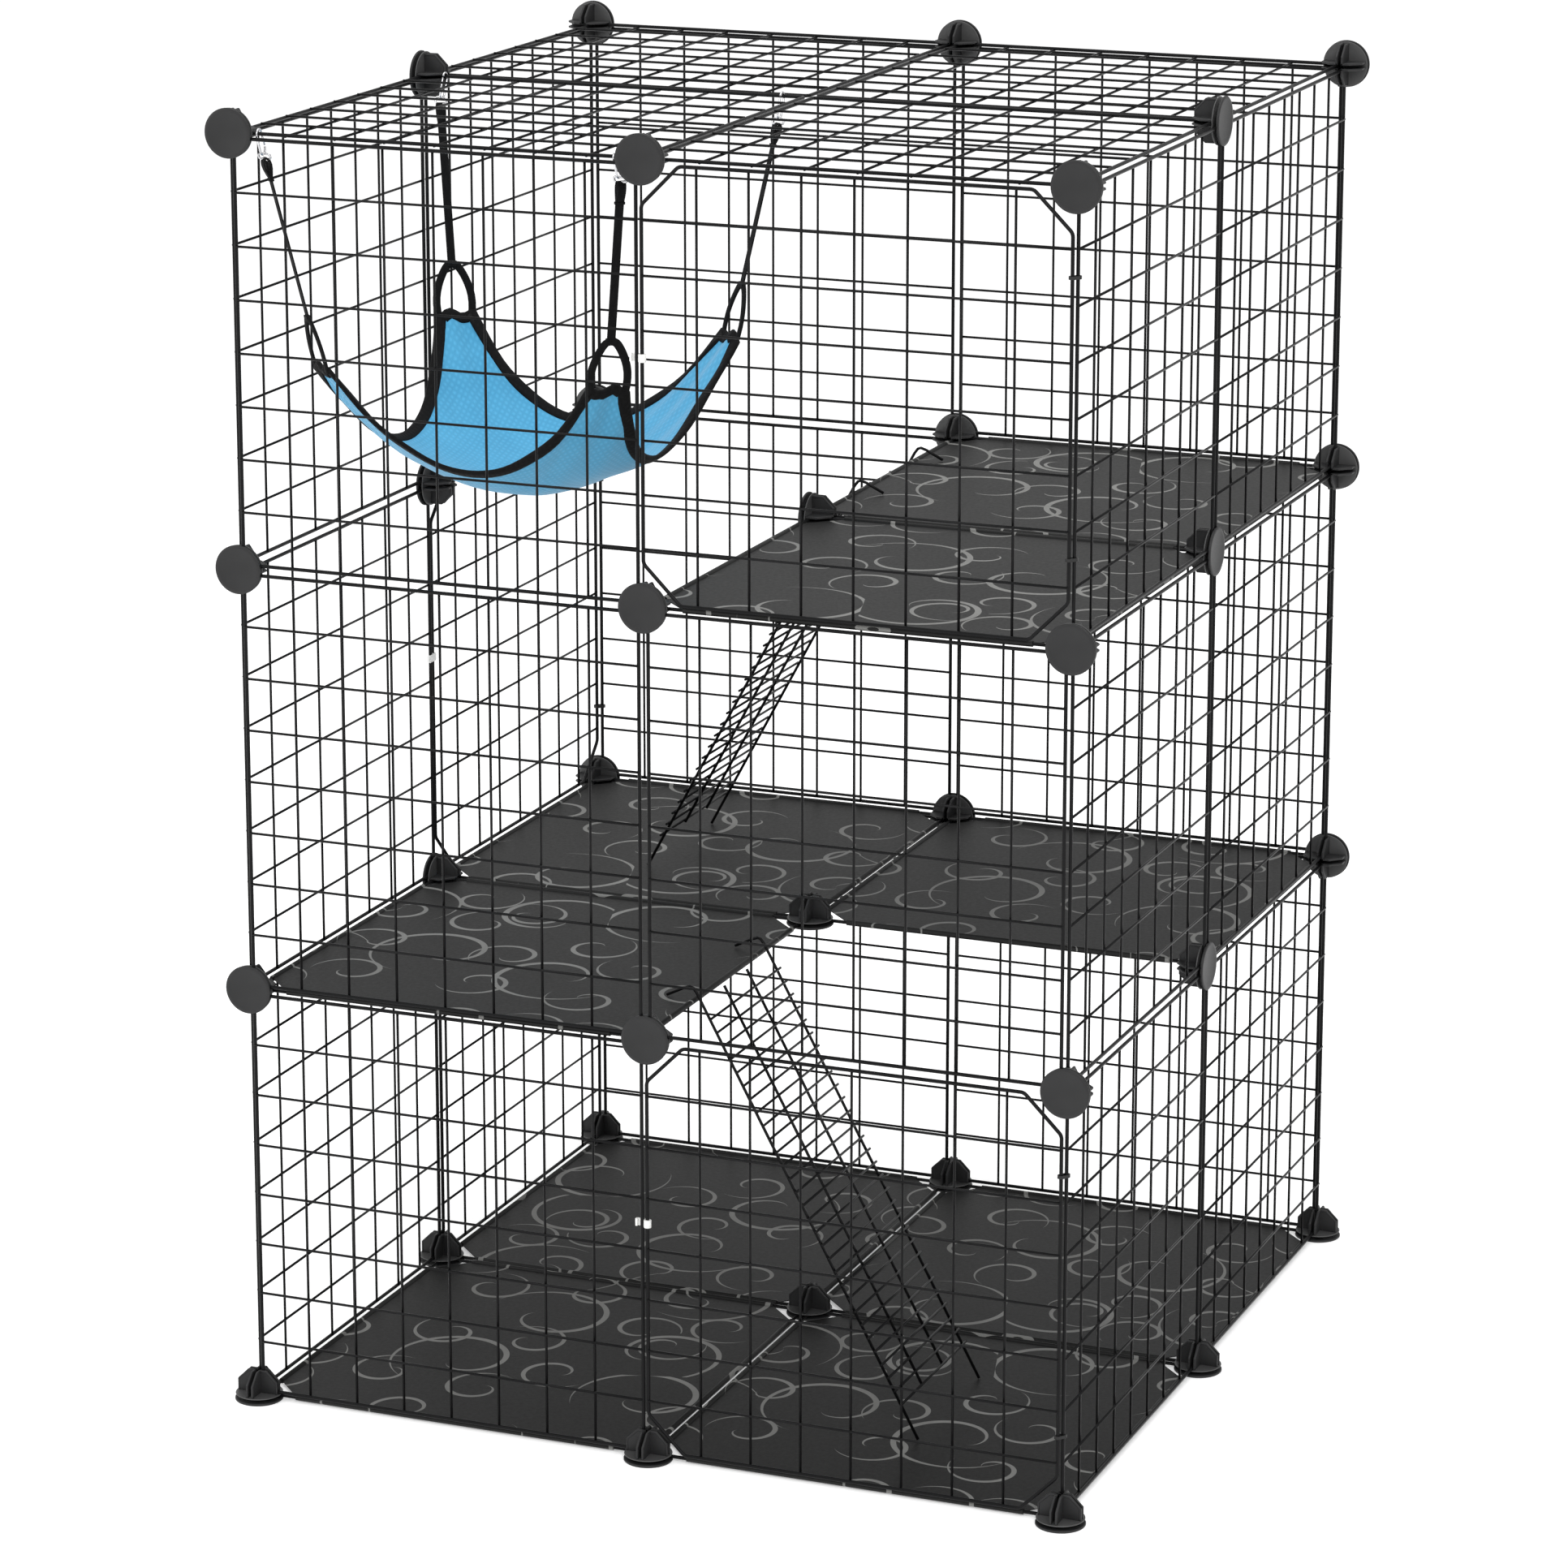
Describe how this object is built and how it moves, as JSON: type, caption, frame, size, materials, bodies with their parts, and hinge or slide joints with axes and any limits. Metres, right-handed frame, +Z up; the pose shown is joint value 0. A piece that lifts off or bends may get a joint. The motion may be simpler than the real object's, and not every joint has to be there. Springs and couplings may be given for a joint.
{
  "type": "cat cage",
  "caption": "Modular wire cat cage of square panels with round connectors, hinged doors, ramps, shelves and a hammock.",
  "frame": {"origin": "middle of the ground plane under the connector feet", "axes": "+Z up, -Y is the front with two doors, +X to the right seen from the front"},
  "size_m": [0.74, 0.74, 1.0735],
  "materials": {
    "black_wire": "black epoxy coated steel wire, semi-gloss",
    "connector_plastic": "moulded matte dark grey plastic",
    "sheet_plastic": "thin dark grey plastic with pale curls",
    "cloth": "light blue woven fabric with black binding",
    "webbing": "black woven webbing",
    "hook_metal": "plated steel",
    "latch_plastic": "white moulded plastic",
    "tie_plastic": "black plastic band"
  },
  "bodies": {
    "cage": {"door_hinge_ties": "tie_plastic", "floor_connectors": "connector_plastic", "floor_frames": "black_wire", "floor_front_left_sheet": "sheet_plastic", "floor_front_right_sheet": "sheet_plastic", "floor_rear_left_sheet": "sheet_plastic", "floor_rear_right_sheet": "sheet_plastic", "front_left_bottom_panel": "black_wire", "front_left_middle_panel": "black_wire", "front_left_top_panel": "black_wire", "front_right_middle_panel": "black_wire", "hammock_cloth": "cloth", "hammock_corner_loops": "webbing", "hammock_hooks": "hook_metal", "hammock_straps": "webbing", "left_front_bottom_panel": "black_wire", "left_front_middle_panel": "black_wire", "left_front_top_panel": "black_wire", "left_rear_bottom_panel": "black_wire", "left_rear_top_panel": "black_wire", "lower_shelf_connectors": "connector_plastic", "lower_shelf_frames": "black_wire", "lower_shelf_front_left_sheet": "sheet_plastic", "lower_shelf_rear_left_sheet": "sheet_plastic", "lower_shelf_rear_right_sheet": "sheet_plastic", "rear_left_bottom_panel": "black_wire", "rear_left_middle_panel": "black_wire", "rear_left_top_panel": "black_wire", "rear_right_bottom_panel": "black_wire", "rear_right_middle_panel": "black_wire", "rear_right_top_panel": "black_wire", "right_front_bottom_panel": "black_wire", "right_front_middle_panel": "black_wire", "right_front_top_panel": "black_wire", "right_rear_bottom_panel": "black_wire", "right_rear_middle_panel": "black_wire", "right_rear_top_panel": "black_wire", "roof_connectors": "connector_plastic", "roof_front_left_panel": "black_wire", "roof_front_right_panel": "black_wire", "roof_rear_left_panel": "black_wire", "roof_rear_right_panel": "black_wire", "upper_shelf_connectors": "connector_plastic", "upper_shelf_frames": "black_wire", "upper_shelf_front_right_sheet": "sheet_plastic", "upper_shelf_rear_right_sheet": "sheet_plastic"},
    "front_bottom_door": {"front_right_bottom_door": "black_wire"},
    "front_top_door": {"front_right_top_door": "black_wire"},
    "left_middle_door": {"left_rear_middle_door": "black_wire"},
    "front_bottom_latch": {"front_bottom_door_latch": "latch_plastic"},
    "front_top_latch": {"front_top_door_latch": "latch_plastic"},
    "left_middle_latch": {"left_middle_door_latch": "latch_plastic"},
    "lower_ramp": {"lower_ramp": "black_wire"},
    "upper_ramp": {"upper_ramp": "black_wire"},
    "front_left_hook_spring_gate": {"front_left_hook_gate": "hook_metal"},
    "front_right_hook_spring_gate": {"front_right_hook_gate": "hook_metal"},
    "rear_left_hook_spring_gate": {"rear_left_hook_gate": "hook_metal"},
    "rear_right_hook_spring_gate": {"rear_right_hook_gate": "hook_metal"}
  },
  "joints": [
    {"name": "front_bottom_door_hinge", "type": "hinge", "parent": "cage", "child": "front_bottom_door", "pos_m": [0.347, -0.35, 0.17855], "axis": [0, 0, 1], "range_deg": [0, 150]},
    {"name": "front_bottom_latch_turn", "type": "hinge", "parent": "front_bottom_door", "child": "front_bottom_latch", "pos_m": [0.0005, -0.35, 0.19992], "axis": [0, 0, -1], "range_deg": [0, 100]},
    {"name": "front_top_door_hinge", "type": "hinge", "parent": "cage", "child": "front_top_door", "pos_m": [0.347, -0.35, 0.87855], "axis": [0, 0, 1], "range_deg": [0, 150]},
    {"name": "front_top_latch_turn", "type": "hinge", "parent": "front_top_door", "child": "front_top_latch", "pos_m": [0.0005, -0.35, 0.89992], "axis": [0, 0, -1], "range_deg": [0, 100]},
    {"name": "left_middle_door_hinge", "type": "hinge", "parent": "cage", "child": "left_middle_door", "pos_m": [-0.35, 0.347, 0.52855], "axis": [0, 0, -1], "range_deg": [0, 150]},
    {"name": "left_middle_latch_turn", "type": "hinge", "parent": "left_middle_door", "child": "left_middle_latch", "pos_m": [-0.35, 0.0005, 0.54992], "axis": [0, 0, 1], "range_deg": [0, 100]},
    {"name": "lower_ramp_lift", "type": "hinge", "parent": "cage", "child": "lower_ramp", "pos_m": [-0.028, -0.17, 0.35425], "axis": [0, -1, 0], "range_deg": [0, 28]},
    {"name": "upper_ramp_lift", "type": "hinge", "parent": "cage", "child": "upper_ramp", "pos_m": [0.028, 0.168, 0.70425], "axis": [0, 1, 0], "range_deg": [0, 28]},
    {"name": "front_left_hook_gate_swing", "type": "hinge", "parent": "cage", "child": "front_left_hook_spring_gate", "pos_m": [-0.327, -0.33504, 1.04324], "axis": [1, 0, 0], "range_deg": [0, 20], "stiffness_Nm_per_rad": 0.002},
    {"name": "front_right_hook_gate_swing", "type": "hinge", "parent": "cage", "child": "front_right_hook_spring_gate", "pos_m": [-0.023, -0.33504, 1.04324], "axis": [1, 0, 0], "range_deg": [0, 20], "stiffness_Nm_per_rad": 0.002},
    {"name": "rear_left_hook_gate_swing", "type": "hinge", "parent": "cage", "child": "rear_left_hook_spring_gate", "pos_m": [-0.327, -0.01496, 1.04324], "axis": [-1, 0, 0], "range_deg": [0, 20], "stiffness_Nm_per_rad": 0.002},
    {"name": "rear_right_hook_gate_swing", "type": "hinge", "parent": "cage", "child": "rear_right_hook_spring_gate", "pos_m": [-0.023, -0.01496, 1.04324], "axis": [-1, 0, 0], "range_deg": [0, 20], "stiffness_Nm_per_rad": 0.002}
  ]
}
